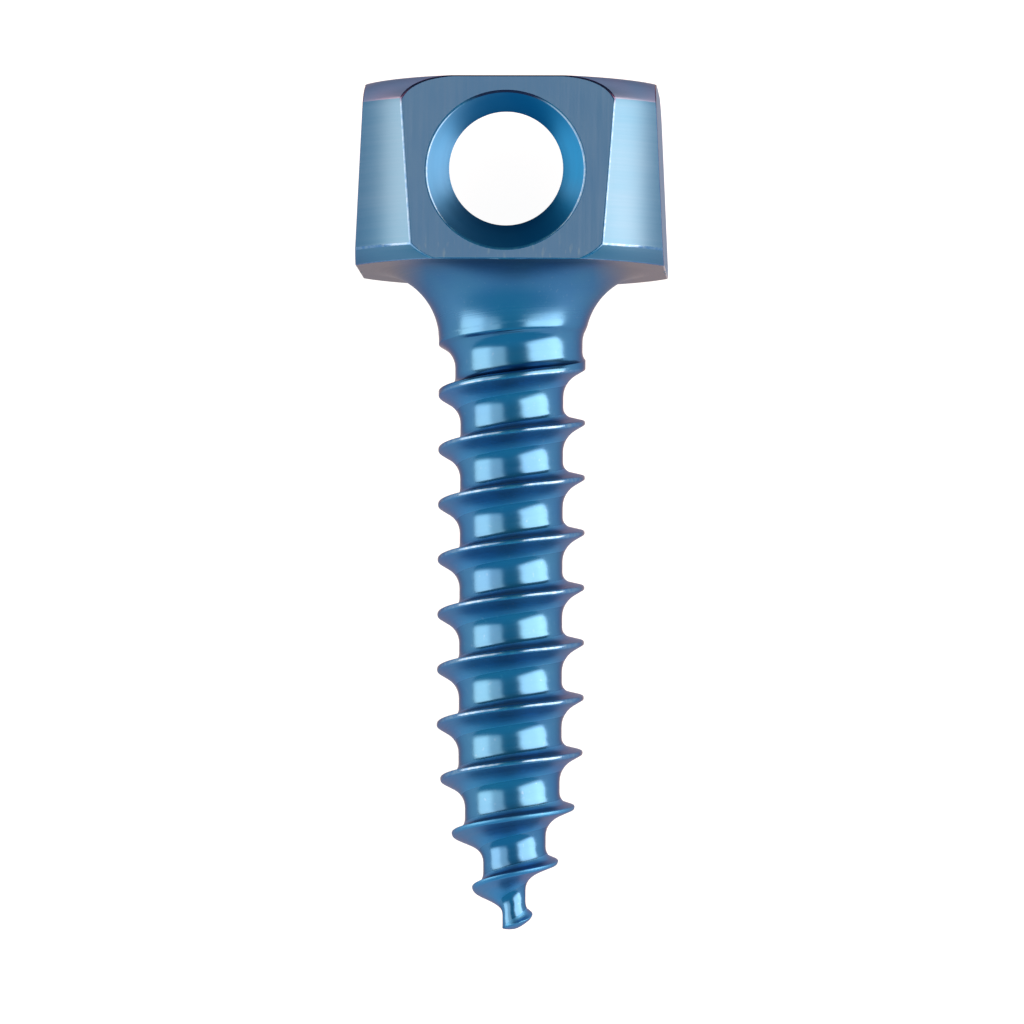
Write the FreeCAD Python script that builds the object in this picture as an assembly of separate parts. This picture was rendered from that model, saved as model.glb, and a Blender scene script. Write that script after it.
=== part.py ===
import FreeCAD, Part
import math
import os

# Bone anchor screw, turned and milled from one bar of titanium alloy.
# A square head with an eyelet for suture or wire stands on a flared neck, and a coarse bone thread
# runs down the shank to a blunt self-starting tip.
# The screw is first built upright about the Z axis: the seat, which is the underside of the head,
# lies at z = 0, the head stands above it and the shank hangs below. It is then laid down to rest.
# All lengths are millimetres and all angles are degrees.

# Head
head_diameter = 6.55
head_height = 3.33
square_across_flats = 5.59
flat_taper_angle = 2.8
crown_width = 0.46
crown_height = 0.42
crown_radius = 0.62
seat_edge_width = 0.18
seat_edge_height = 0.27
seat_edge_radius = 0.40

# Eyelet, bored across the head from front to back
eyelet_diameter = 2.05
eyelet_height = 1.59
mouth_diameter = 2.86
mouth_edge_angle = 15.0

# Neck and shank
neck_fillet_radius = 1.25
shank_length = 11.95
thread_diameter = 2.67
core_diameter = 1.87

# Bone thread, right-handed with one start
thread_pitch = 1.0
crest_land = 0.07
load_flank_angle = 6.0
load_root_radius = 0.20
trailing_flank_angle = 35.0
trailing_root_radius = 0.40
first_crest_depth = 1.742
full_thread_depth = 1.93
runout_end_depth = 1.12

# Tip, with heights measured up from its end
point_length = 3.7
nose_radius = 0.48
core_taper_length = 3.1
core_curve_radius = 4.2
core_cone_angle = 20.0

# Working values of the cutters, of the curves that follow the thread and of the search for its rest
cutter_margin = 1.0
groove_overshoot = 0.03
turns_past_tip = 0.6
turns_past_runout = 0.2
sections_per_turn = 12
rest_samples_per_turn = 360
reach_fineness = 0.02

# Sizes that follow from those above
head_radius = head_diameter / 2
thread_radius = thread_diameter / 2
core_radius = core_diameter / 2
thread_depth = thread_radius - core_radius
eyelet_radius = eyelet_diameter / 2
mouth_radius = mouth_diameter / 2
mouth_depth = mouth_radius - eyelet_radius

# The tapering curve leaves the shank and meets the ball nose tangentially, which gives its radius
nose_reach = point_length - nose_radius
nose_step = thread_radius - nose_radius
point_curve_radius = (thread_radius ** 2 + nose_reach ** 2 - nose_radius ** 2) / (2 * nose_step)

axis_x = FreeCAD.Vector(1, 0, 0)
axis_y = FreeCAD.Vector(0, 1, 0)
axis_z = FreeCAD.Vector(0, 0, 1)


def vec(x, y, z):
    return FreeCAD.Vector(x, y, z)


def profile_point(radius, height):
    """A point of a turned outline, in the XZ plane."""
    return vec(radius, 0, height)


def line(start, end):
    return Part.LineSegment(start, end).toShape()


def arc_between(start, end, radius):
    """Arc of a given radius in the XZ plane, bulging to the left of the way from start to end."""
    chord = end.sub(start)
    half = chord.Length / 2
    sagitta = radius - math.sqrt(radius ** 2 - half ** 2)
    left = vec(-chord.z, 0, chord.x).normalize()
    middle = start.add(chord * 0.5).add(left * sagitta)
    return Part.Arc(start, middle, end).toShape()


# The two envelopes of the thread: its crests follow the turned blank, and its roots follow the core

def point_drop(height, length, radius):
    """How far a curve that leaves the shank tangentially, length above the tip, has come in."""
    below = max(length - height, 0)
    return radius - math.sqrt(radius ** 2 - below ** 2)


def crest_radius_at(height):
    """Radius of the turned blank at a height above the tip's end."""
    return thread_radius - point_drop(max(height, 0), point_length, point_curve_radius)


def root_radius_at(height):
    """Radius of the core at a height above the tip's end: shank, curve, then a straight cone."""
    cone_slope = math.tan(math.radians(core_cone_angle))
    cone_reach = core_curve_radius * math.sin(math.radians(core_cone_angle))
    cone_top = core_taper_length - cone_reach
    above = max(height, 0)
    curve = point_drop(max(above, cone_top), core_taper_length, core_curve_radius)
    cone = max(cone_top - above, 0) * cone_slope
    return core_radius - curve - cone


# Turned blank

def blank_outline():
    """Outline of the turned blank from the top of the head down to the nose, closed on the axis."""
    top = profile_point(0, head_height)
    crown_inner = profile_point(head_radius - crown_width, head_height)
    crown_outer = profile_point(head_radius, head_height - crown_height)
    seat_edge_top = profile_point(head_radius, seat_edge_height)
    seat_edge_foot = profile_point(head_radius - seat_edge_width, 0)
    fillet_top = profile_point(thread_radius + neck_fillet_radius, 0)
    fillet_foot = profile_point(thread_radius, -neck_fillet_radius)
    point_top = profile_point(thread_radius, point_length - shank_length)
    fillet_centre = profile_point(fillet_top.x, fillet_foot.z)
    fillet_middle = fillet_centre.add(profile_point(-1, 1).normalize() * neck_fillet_radius)
    nose_top, nose_middle, nose_end = nose_points()
    point_middle = on_point_curve((point_length + nose_top.z + shank_length) / 2)
    edges = [
        line(top, crown_inner),
        arc_between(crown_inner, crown_outer, crown_radius),
        line(crown_outer, seat_edge_top),
        arc_between(seat_edge_top, seat_edge_foot, seat_edge_radius),
        line(seat_edge_foot, fillet_top),
        Part.Arc(fillet_top, fillet_middle, fillet_foot).toShape(),
        line(fillet_foot, point_top),
        Part.Arc(point_top, point_middle, nose_top).toShape(),
        Part.Arc(nose_top, nose_middle, nose_end).toShape(),
        line(nose_end, top),
    ]
    return Part.Wire(edges)


def on_point_curve(height):
    """Point of the blank's tapering curve at a height above the tip's end."""
    return profile_point(crest_radius_at(height), height - shank_length)


def nose_points():
    """Start, middle and end of the ball nose; it starts where the line through both centres meets it."""
    curve_centre = profile_point(thread_radius - point_curve_radius, point_length - shank_length)
    ball_centre = profile_point(0, nose_radius - shank_length)
    outward = ball_centre.sub(curve_centre).normalize()
    start = ball_centre.add(outward * nose_radius)
    between = outward.add(vec(0, 0, -1)).normalize()
    middle = ball_centre.add(between * nose_radius)
    return start, middle, profile_point(0, -shank_length)


def turned_blank():
    face = Part.Face(blank_outline())
    return face.revolve(vec(0, 0, 0), axis_z, 360)


# Milled head

def flat_cutter(turn):
    """Prism that lies outside one flat; the flat leans inwards towards the top of the head."""
    foot = square_across_flats / 2
    far = head_radius + cutter_margin
    top = head_height + cutter_margin
    lean_in = top * math.tan(math.radians(flat_taper_angle))
    corners = [
        vec(-far, -foot, 0),
        vec(-far, -far, 0),
        vec(-far, -far, top),
        vec(-far, lean_in - foot, top),
    ]
    side = Part.Face(Part.makePolygon(corners + corners[:1]))
    prism = side.extrude(vec(2 * far, 0, 0))
    prism.rotate(vec(0, 0, 0), axis_z, turn)
    return prism


def eyelet_bore():
    """Plain bore across the head from front to back."""
    length = square_across_flats + 2 * cutter_margin
    return Part.makeCylinder(eyelet_radius, length, vec(0, -length / 2, eyelet_height), axis_y)


def mouth_arc():
    """Start, middle and end of the rounding of a mouth, as radius and height above the flat.

    It leaves the flat and meets the bore at the mouth's edge angle, then runs on just inside the bore.
    """
    edge = math.radians(mouth_edge_angle)
    radius = mouth_depth / (math.cos(edge) - math.sin(edge))
    centre = profile_point(mouth_radius + radius * math.sin(edge), -radius * math.cos(edge))
    half_way = (edge + math.pi / 2) / 2
    start = profile_point(mouth_radius, 0)
    middle = centre.add(profile_point(-math.sin(half_way), math.cos(half_way)) * radius)
    end = centre.add(profile_point(-radius, 0))
    return start, middle, end


def mouth_cutter(turn):
    """Turned cutter of one mouth, square to its flat, with the foot of its rounding on the bore's axis."""
    start, middle, end = mouth_arc()
    outer = profile_point(mouth_radius, cutter_margin)
    outer_centre = profile_point(0, cutter_margin)
    inner_centre = profile_point(0, end.z)
    edges = [
        Part.Arc(end, middle, start).toShape(),
        line(start, outer),
        line(outer, outer_centre),
        line(outer_centre, inner_centre),
        line(inner_centre, end),
    ]
    cutter = Part.Face(Part.Wire(edges)).revolve(vec(0, 0, 0), axis_z, 360)
    taper = math.radians(flat_taper_angle)
    height = eyelet_height + mouth_depth * math.sin(taper)
    reach = square_across_flats / 2 - height * math.tan(taper)
    cutter.rotate(vec(0, 0, 0), axis_x, 90 - flat_taper_angle)
    cutter.translate(vec(0, -reach, height))
    cutter.rotate(vec(0, 0, 0), axis_z, turn)
    return cutter


# Thread groove

def step_from(point, direction, distance):
    return point[0] + direction[0] * distance, point[1] + direction[1] * distance


def handle_length(radius, slope):
    """Length of the handles of a cubic that rounds a quarter turn less the flank's slope."""
    return 4 / 3 * math.tan((math.pi / 2 - slope) / 4) * radius


def groove_section():
    """Section of the groove as one smooth cubic strip: its poles, knots and their multiplicities.

    Poles are (rise, height): rise is measured up the screw from the middle of the lower crest, and
    height out from the root. The strip runs down the load flank, round the small radius, along the
    root, round the large radius and up the trailing flank. Each stretch has its knots as far apart as
    three of its handles are long, so the strip passes smoothly through its joints.
    """
    load = math.radians(load_flank_angle)
    trail = math.radians(trailing_flank_angle)
    top = thread_depth + groove_overshoot
    load_height = load_root_radius * (1 - math.sin(load))
    trail_height = trailing_root_radius * (1 - math.sin(trail))
    down = (math.sin(load), -math.cos(load))
    along = (1, 0)
    up = (math.sin(trail), math.cos(trail))
    load_top = (crest_land / 2 - groove_overshoot * math.tan(load), top)
    load_length = (top - load_height) / math.cos(load)
    load_end = step_from(load_top, down, load_length)
    root_low = (load_end[0] + load_root_radius * math.cos(load), 0)
    trail_top = (thread_pitch - crest_land / 2 + groove_overshoot * math.tan(trail), top)
    trail_length = (top - trail_height) / math.cos(trail)
    trail_end = step_from(trail_top, up, -trail_length)
    root_high = (trail_end[0] - trailing_root_radius * math.cos(trail), 0)
    points = [load_top, load_end, root_low, root_high, trail_end, trail_top]
    directions = [down, down, along, along, up, up]
    handles = [
        load_length / 3,
        handle_length(load_root_radius, load),
        (root_high[0] - root_low[0]) / 3,
        handle_length(trailing_root_radius, trail),
        trail_length / 3,
    ]
    poles = [load_top]
    knots = [0]
    for place, handle in enumerate(handles):
        poles.append(step_from(points[place], directions[place], handle))
        poles.append(step_from(points[place + 1], directions[place + 1], -handle))
        knots.append(knots[-1] + 3 * handle)
    poles.append(trail_top)
    return poles, knots, [4, 2, 2, 2, 2, 4]


def groove_profile():
    """Closed section of the groove cutter: the groove itself, and three straight strips outside it."""
    poles, knots, multiplicities = groove_section()
    load_top = poles[0]
    trail_top = poles[-1]
    load_far = (load_top[0], load_top[1] + cutter_margin)
    trail_far = (trail_top[0], trail_top[1] + cutter_margin)
    straight = (1, [0, 1], [2, 2])
    return [
        (poles, 3, knots, multiplicities),
        ([trail_top, trail_far], *straight),
        ([trail_far, load_far], *straight),
        ([load_far, load_top], *straight),
    ]


def lower_crest_height(angle):
    """Height of the middle of the crest below the groove, seen from the seat, at an angle."""
    return -first_crest_depth + thread_pitch * angle / 360


def groove_lift(angle):
    """How far the groove has left the core at an angle, as the tool withdraws below the neck."""
    height = lower_crest_height(angle) + thread_pitch / 2
    share = (height + full_thread_depth) / (full_thread_depth - runout_end_depth)
    return max(share, 0) * thread_depth


def groove_point(angle, pole):
    """Place of one pole of the groove's section at an angle round the screw."""
    rise, height = pole
    z = lower_crest_height(angle) + rise
    above_tip = z + shank_length
    root = root_radius_at(above_tip)
    crest = crest_radius_at(above_tip)
    radius = root + (crest - root) * height / thread_depth + groove_lift(angle)
    turn = math.radians(angle)
    return vec(radius * math.cos(turn), radius * math.sin(turn), z)


def groove_angles():
    """Angles of the sections, from where the whole groove is below the tip to just past its run-out.

    They count from the first crest, and the middle of the groove is half a turn above its lower crest.
    """
    start_turns = (first_crest_depth - shank_length) / thread_pitch - 1 - turns_past_tip
    end_turns = (first_crest_depth - runout_end_depth) / thread_pitch - 0.5 + turns_past_runout
    steps = math.ceil((end_turns - start_turns) * sections_per_turn)
    return [360 * (start_turns + (end_turns - start_turns) * step / steps) for step in range(steps + 1)]


def pole_path(pole, angles):
    """Smooth curve of one pole of the section along the whole groove."""
    curve = Part.BSplineCurve()
    curve.interpolate(Points=[groove_point(angle, pole) for angle in angles], Parameters=angles)
    return curve


def strip_surface(strip, angles):
    """Surface that one strip of the section sweeps out along the groove."""
    poles, degree, knots, multiplicities = strip
    paths = [pole_path(pole, angles) for pole in poles]
    grid = list(zip(*[path.getPoles() for path in paths]))
    along = paths[0]
    surface = Part.BSplineSurface()
    surface.buildFromPolesMultsKnots(
        grid, along.getMultiplicities(), multiplicities, along.getKnots(), knots,
        False, False, along.Degree, degree)
    return surface


def strip_faces(strip, angles):
    """Faces of one strip, one for each turn of the groove."""
    surface = strip_surface(strip, angles)
    knots = strip[2]
    last = len(angles) - 1
    faces = []
    for start in range(0, last, sections_per_turn):
        turn = surface.copy()
        turn.segment(angles[start], angles[min(start + sections_per_turn, last)], knots[0], knots[-1])
        faces.append(turn.toShape())
    return faces


def groove_cap(profile, angle):
    """Flat end of the groove cutter at an angle, in a plane through the axis."""
    edges = []
    for poles, degree, knots, multiplicities in profile:
        curve = Part.BSplineCurve()
        places = [groove_point(angle, pole) for pole in poles]
        curve.buildFromPolesMultsKnots(places, multiplicities, knots, False, degree)
        edges.append(curve.toShape())
    return Part.Face(Part.Wire(edges))


def groove_cutter():
    """Solid that fills the groove between the crests, from below the tip to its run-out."""
    angles = groove_angles()
    profile = groove_profile()
    faces = [groove_cap(profile, angles[0]), groove_cap(profile, angles[-1])]
    for strip in profile:
        faces += strip_faces(strip, angles)
    shell = Part.makeShell(faces)
    shell.sewShape()
    return Part.Solid(shell)


def upright_screw():
    screw = turned_blank()
    for turn in (0, 90, 180, 270):
        screw = screw.cut(flat_cutter(turn))
    for cutter in (eyelet_bore(), mouth_cutter(0), mouth_cutter(180)):
        screw = screw.cut(cutter)
    return screw.cut(groove_cutter())


# Rest: the screw lies on the lower edge of its back flat and on one crest near the tip

def crest_behind(angle):
    """Distance below the seat and distance behind the axis of the crest's middle at an angle."""
    height = lower_crest_height(angle)
    radius = crest_radius_at(height + shank_length)
    return -height, radius * math.sin(math.radians(angle))


def lean_onto(crest):
    """Lean of the axis at which the back flat's edge and one crest point touch the same floor."""
    below, behind = crest
    return math.degrees(math.atan2(square_across_flats / 2 - behind, below))


def rest_lean():
    """Lean at which the shank comes down on its first crest, tried at close steps along the crest."""
    end = 360 * (first_crest_depth - shank_length) / thread_pitch
    steps = math.ceil(-end / 360 * rest_samples_per_turn)
    return min(lean_onto(crest_behind(end * step / steps)) for step in range(1, steps + 1))


def laid_down(screw):
    """The screw lying along Y with its head towards +Y, over the middle of its own footprint."""
    screw.rotate(vec(0, 0, 0), axis_x, rest_lean() - 90)
    reach = [point.y for point in screw.tessellate(reach_fineness)[0]]
    floor = min(vertex.Z for vertex in screw.Vertexes)
    screw.translate(vec(0, -(min(reach) + max(reach)) / 2, -floor))
    return screw


def main():
    os.makedirs("parts", exist_ok=True)
    anchor_screw = laid_down(upright_screw())
    anchor_screw.exportStep("parts/anchor_screw.step")
    print("anchor_screw volume", round(anchor_screw.Volume, 3), "valid", anchor_screw.isValid())
    print("solids", len(anchor_screw.Solids), "lean", round(rest_lean(), 3))


main()
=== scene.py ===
# %% [markdown]
# # A blue anodised bone anchor screw
# The screw is one piece of titanium: a square head with an eyelet, a flared neck and a coarse bone
# thread that ends in a blunt tip. It lies on a pale floor and the camera looks down on it. The first
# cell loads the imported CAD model, which fixes the place and the size of everything else.

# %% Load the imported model
import math

import bpy
import numpy as np
from mathutils import Matrix, Vector


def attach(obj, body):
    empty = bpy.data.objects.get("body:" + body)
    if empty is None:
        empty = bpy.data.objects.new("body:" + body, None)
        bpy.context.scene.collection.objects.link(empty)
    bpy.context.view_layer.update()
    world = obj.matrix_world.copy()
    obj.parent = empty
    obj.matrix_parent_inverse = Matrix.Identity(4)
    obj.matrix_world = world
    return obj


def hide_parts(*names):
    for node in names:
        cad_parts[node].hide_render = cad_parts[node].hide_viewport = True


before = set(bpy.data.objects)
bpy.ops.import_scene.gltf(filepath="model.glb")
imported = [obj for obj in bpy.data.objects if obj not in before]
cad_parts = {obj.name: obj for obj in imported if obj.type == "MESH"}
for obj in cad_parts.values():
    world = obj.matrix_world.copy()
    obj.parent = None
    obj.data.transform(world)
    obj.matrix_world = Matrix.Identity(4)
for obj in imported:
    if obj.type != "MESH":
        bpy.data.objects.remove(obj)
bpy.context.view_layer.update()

# %% [markdown]
# ## Sizes
# All sizes of the screw are in millimetres and in the screw's own upright frame: the seat, which is the
# underside of the head, lies at height 0, the head stands above it and the shank hangs below it. Working
# upright keeps the formulas short; the finished mesh is laid down at the end.

# %% Sizes
HEAD_RADIUS = 3.275
HEAD_HEIGHT = 3.33
ACROSS_FLATS = 5.59
FLAT_TAPER = math.radians(2.8)
CROWN_WIDTH = 0.46
CROWN_HEIGHT = 0.42
CROWN_RADIUS = 0.62
SEAT_EDGE_WIDTH = 0.18
SEAT_EDGE_HEIGHT = 0.27
SEAT_EDGE_RADIUS = 0.90

BORE_RADIUS = 1.025
BORE_HEIGHT = 1.59
MOUTH_RADIUS = 1.43
MOUTH_EDGE = math.radians(28)
MOUTH_FOOT = math.radians(41)
MOUTH_SHIFT = -0.03
WAIST_RISE = 0.07
BACK_BORE_RADIUS = 1.46
BACK_MOUTH_RADIUS = 1.52
BACK_RISE = 0.17
BACK_SHIFT = -0.07

NECK_RADIUS = 1.25
SHANK_LENGTH = 11.95
THREAD_RADIUS = 1.335
CORE_RADIUS = 0.935
THREAD_DEPTH = THREAD_RADIUS - CORE_RADIUS
PITCH = 1.0
CREST_LAND = 0.07
CREST_ROUND = 0.038
LOAD_SLOPE = math.radians(11)
LOAD_ROUND = 0.20
TRAIL_SLOPE = math.radians(30)
TRAIL_ROUND = 0.46
FIRST_CREST = 1.742
FULL_THREAD = 1.93
RUNOUT_END = 1.12

POINT_LENGTH = 3.7
NOSE_RADIUS = 0.48
CORE_TAPER = 3.1
CORE_CURVE = 4.2
CORE_CONE = math.radians(20)

REST_DIP = 9.4008
SEAT_AT = np.array([0.0, 4.0402, 2.7575])

COLUMNS = 160
SIDE_CELLS = COLUMNS // 8
FIRST_COLUMN = -112.5

print("thread depth", round(THREAD_DEPTH, 3), "mm, columns round the screw:", COLUMNS)

# %% [markdown]
# ## Grids
# Every surface here is a grid: a table of points whose neighbours are joined by four-sided faces. Each
# grid also says which finish it wears, and gives every point a place in its grain, in millimetres:
# first along the marks that the cutter left there, then across them. Written to a UV map, the grain lets
# a material draw turning marks that follow the real cut on every face.

# %% Grid helpers
FINISHES = ["gloss", "flank", "corner", "crown", "flat", "eyelet", "edge"]
grids = []


def grid_faces(rows, columns):
    """Faces of a grid of rows x columns points: each joins a point to its three next neighbours."""
    index = np.arange(rows * columns).reshape(rows, columns)
    corners = (index[:-1, :-1], index[:-1, 1:], index[1:, 1:], index[1:, :-1])
    return np.stack([corner.ravel() for corner in corners], axis=1)


def keep_grid(points, finish, along, across, flip=False):
    """Store a grid of rows x columns points with its finish and its grain, turned over where flip is true.

    finish is one name, or the finish number of every face. along and across are the grain's two places.
    """
    faces = grid_faces(*points.shape[:2])
    if isinstance(finish, str):
        finish = FINISHES.index(finish)
    worn = np.broadcast_to(finish, (points.shape[0] - 1, points.shape[1] - 1)).ravel()
    grain = np.stack(np.broadcast_arrays(along, across), axis=-1)
    grain = np.broadcast_to(grain, points.shape[:2] + (2,))
    if flip:
        faces = faces[:, ::-1]
    grids.append((points.reshape(-1, 3), faces, worn, grain.reshape(-1, 2)))


def ramp(start, end, shares):
    """Points between two rows: start plus a share of the way to end, one row for each share."""
    shares = np.asarray(shares)[:, None, None]
    return start[None] * (1 - shares) + end[None] * shares


# %% Arcs
def arc_points(centre, radius, start, end, count):
    """Points of an arc: the centre plus the radius turned from the start to the end angle."""
    angle = np.radians(np.linspace(start, end, count))
    return np.stack([centre[0] + radius * np.cos(angle), centre[1] + radius * np.sin(angle)], axis=1)


def arc_between(start, end, radius, count):
    """Points of an arc from start to end that bulges to the left of the way, so its centre lies right."""
    start = np.array(start)
    chord = np.array(end) - start
    half = np.linalg.norm(chord) / 2
    left = np.array([-chord[1], chord[0]]) / (2 * half)
    centre = start + chord / 2 - left * math.sqrt(radius ** 2 - half ** 2)
    from_centre = start - centre
    first = math.degrees(math.atan2(from_centre[1], from_centre[0]))
    last = first - 2 * math.degrees(math.asin(half / radius))
    return arc_points(centre, radius, first, last, count)


# %% [markdown]
# ## Thread
# The thread is one groove wound round the shank. Its section is a curve of height over rise: the crest's
# small land, a steep flank that carries the load, a small round, the flat root, a large round and a
# leaning trailing flank. The curve could be swept with a Screw modifier, but that keeps one section for
# the whole length, and here the core and the crests taper at different rates. So the surface is a
# function of the angle and of the place along the section, with grid lines that follow the helix and
# keep every crest sharp.

# %% The two halves of the groove's section
LOAD_CELLS = (3, 3, 5, 2)
TRAIL_CELLS = (3, 5, 6, 2)
LAND_CELLS = 4


def half_section(slope, round_radius, root_half, cells):
    """Half of the groove from the crest's land to the middle of its root, as (rise, height) points.

    The land ends in a small round, the flank falls straight at its slope, and a larger round that
    touches the flank and the root ends in the straight root. cells gives the cells of each stretch.
    """
    slope_degrees = math.degrees(slope)
    tangent = CREST_ROUND * math.tan((math.pi / 2 - slope) / 2)
    land_end = CREST_LAND / 2
    top_centre = (land_end - tangent, THREAD_DEPTH - CREST_ROUND)
    flank_run = (THREAD_DEPTH - round_radius * (1 - math.sin(slope))) * math.tan(slope)
    root_start = land_end + flank_run + round_radius * math.cos(slope)
    pieces = [
        arc_points(top_centre, CREST_ROUND, 90, slope_degrees, cells[0] + 1),
        arc_points((root_start, round_radius), round_radius, 180 + slope_degrees, 270, cells[2] + 1),
        np.array([[root_half, 0.0]]),
    ]
    marks = np.concatenate(pieces)
    length = np.concatenate([[0], np.cumsum(np.linalg.norm(np.diff(marks, axis=0), axis=1))])
    top_end, foot = cells[0], cells[0] + 1
    root_end = foot + cells[2]
    rows = np.concatenate([
        length[:top_end],
        np.linspace(length[top_end], length[foot], cells[1], endpoint=False),
        length[foot:root_end],
        np.linspace(length[root_end], length[-1], cells[3] + 1),
    ])
    return marks, length, rows / length[-1], root_start


load_start = half_section(LOAD_SLOPE, LOAD_ROUND, PITCH, LOAD_CELLS)[3]
trail_start = half_section(TRAIL_SLOPE, TRAIL_ROUND, PITCH, TRAIL_CELLS)[3]
ROOT_MIDDLE = (load_start + PITCH - trail_start) / 2
load_half = half_section(LOAD_SLOPE, LOAD_ROUND, ROOT_MIDDLE, LOAD_CELLS)
trail_half = half_section(TRAIL_SLOPE, TRAIL_ROUND, PITCH - ROOT_MIDDLE, TRAIL_CELLS)
print("root from", round(load_start, 3), "to", round(PITCH - trail_start, 3), "mm of rise")

# %% [markdown]
# ## Envelopes
# The crests follow the turned blank: a cylinder, a long curve and a ball nose. The roots follow the core:
# a cylinder, a curve and a straight cone. Above the thread the blank flares out into the neck. Each is a
# plain formula of the height, worked out for whole arrays at once.

# %% Envelope formulas
NOSE_REACH = POINT_LENGTH - NOSE_RADIUS
POINT_CURVE = ((THREAD_RADIUS ** 2 + NOSE_REACH ** 2 - NOSE_RADIUS ** 2)
               / (2 * (THREAD_RADIUS - NOSE_RADIUS)))
NOSE_TOP = NOSE_RADIUS - NOSE_RADIUS * NOSE_REACH / (POINT_CURVE - NOSE_RADIUS)
NOSE_EASE = 0.04


def drop(above, length, radius):
    """How far a curve has come in: an arc of the radius that leaves a straight line at the length."""
    below = np.maximum(length - above, 0)
    return radius - np.sqrt(radius ** 2 - below ** 2)


def groove_crest_radius(above):
    """Radius of the long curve at a height above the tip's end, which the groove is measured from."""
    return THREAD_RADIUS - drop(above, POINT_LENGTH, POINT_CURVE)


def blank_radius(above):
    """Radius of the turned blank at a height above the tip's end: the long curve, then the ball nose."""
    ball = np.sqrt(np.maximum(NOSE_RADIUS ** 2 - (NOSE_RADIUS - above) ** 2, 0))
    return np.where(above < NOSE_TOP, ball, groove_crest_radius(above))


def root_radius(above):
    """Radius of the core at a height above the tip's end: shank, curve, then a straight cone."""
    cone_top = CORE_TAPER - CORE_CURVE * math.sin(CORE_CONE)
    curve = drop(np.maximum(above, cone_top), CORE_TAPER, CORE_CURVE)
    return CORE_RADIUS - curve - np.maximum(cone_top - above, 0) * math.tan(CORE_CONE)


def neck_outline(along):
    """Radius and height of the neck by the way along it: a straight line, a quarter arc, the flat seat."""
    turn = np.clip((along + NECK_RADIUS) / NECK_RADIUS, 0, math.pi / 2)
    over = np.maximum(along - NECK_RADIUS * (math.pi / 2 - 1), 0)
    radius = THREAD_RADIUS + NECK_RADIUS * (1 - np.cos(turn)) + over
    height = np.where(along < -NECK_RADIUS, along, -NECK_RADIUS + NECK_RADIUS * np.sin(turn))
    return radius, height


print("long curve radius", round(POINT_CURVE, 3), "ball nose up to", round(NOSE_TOP, 3))

# %% [markdown]
# ## Winding the groove
# A row of the grid climbs one pitch in a turn, so the last column is the first column one turn on. The
# cutter stays square to the axis while it follows the core's taper inwards, so each turn's root is level
# with the axis and the tip goes in by steps. Below the neck the groove rises out of the core: its
# section is lifted, and the flanks are cut short where they meet the blank, so the run-out keeps a
# clean edge.

# %% Thread, tip and neck as one surface
SEAT_RING = 2.645
ALONG_END = NECK_RADIUS * (math.pi / 2 - 1) + SEAT_RING - THREAD_RADIUS - NECK_RADIUS


def half_rows(half, top_height):
    """Rise and height of a half section whose flank is cut off at a height, one for each of its rows."""
    marks, length, shares, _ = half
    cut = np.interp(top_height, marks[::-1, 1], length[::-1])
    place = cut[..., None] + shares * (length[-1] - cut[..., None])
    return np.interp(place, length, marks[:, 0]), np.interp(place, length, marks[:, 1])


def groove_section(share):
    """Rise and height of the whole section, from one crest to the next, as the groove runs out.

    share is 0 where the groove is full and 1 where it ends. Past the end the rows are spread evenly.
    A few rows lie on the land, which grows wide where the groove runs out.
    """
    open_height = THREAD_DEPTH * (1 - np.clip(share, 0, 1))
    load_rise, load_height = half_rows(load_half, open_height)
    trail_rise, trail_height = half_rows(trail_half, open_height)
    land = np.zeros(share.shape + (1,))
    land_shares = 1 - np.arange(1, LAND_CELLS) / LAND_CELLS
    land_rise = PITCH - trail_rise[..., :1] * land_shares
    rise = np.concatenate([land, load_rise, PITCH - trail_rise[..., -2::-1], land_rise], axis=2)
    top = np.full(land_rise.shape, THREAD_DEPTH)
    height = np.concatenate([land + THREAD_DEPTH, load_height, trail_height[..., -2::-1], top], axis=2)
    even = np.arange(rise.shape[2]) / rise.shape[2] * PITCH
    beyond = np.clip(share - 1, 0, 1)[..., None]
    return rise * (1 - beyond) + even * beyond, height


def thread_surface():
    """Points and turns of the shank: angle round the screw by place along the section, turn after turn.

    The radius is the core's at the middle of this turn's root, plus the section's height, scaled so
    that it reaches the crest, plus the lift of the run-out, and never more than the turned blank. Past
    the run-out's end the cutter is clear of the blank.
    """
    angle = FIRST_COLUMN + 360 * np.arange(COLUMNS + 1) / COLUMNS
    lowest = math.floor((FIRST_CREST - SHANK_LENGTH - NOSE_EASE) / PITCH - 1 - FIRST_COLUMN / 360) - 1
    highest = math.ceil((FIRST_CREST + ALONG_END) / PITCH - FIRST_COLUMN / 360) + 1
    wound = angle[None, :] / 360 + np.arange(lowest, highest)[:, None]
    lower_crest = -FIRST_CREST + PITCH * wound
    share = np.maximum((lower_crest + PITCH / 2 + FULL_THREAD) / (FULL_THREAD - RUNOUT_END), 0)
    rise, height = groove_section(share)
    along = lower_crest[..., None] + rise
    eased = np.maximum(along + SHANK_LENGTH + NOSE_EASE, 0)
    above = eased - NOSE_EASE * (1 - np.exp(-eased / NOSE_EASE))
    root = root_radius(np.maximum(lower_crest + ROOT_MIDDLE + SHANK_LENGTH, 0))[..., None]
    lift = np.where(share > 1, np.inf, share * THREAD_DEPTH)[..., None]
    cut = root + (groove_crest_radius(above) - root) * height / THREAD_DEPTH + lift
    neck_radius, neck_height = neck_outline(np.minimum(along, ALONG_END))
    radius = np.minimum(cut, np.where(above < POINT_LENGTH, blank_radius(above), neck_radius))
    z = np.where(above < POINT_LENGTH, above - SHANK_LENGTH, neck_height)
    around = np.radians(angle)[None, :, None]
    points = np.stack([radius * np.cos(around), radius * np.sin(around), z], axis=3)
    return points.transpose(0, 2, 1, 3).reshape(-1, COLUMNS + 1, 3), wound, share


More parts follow.
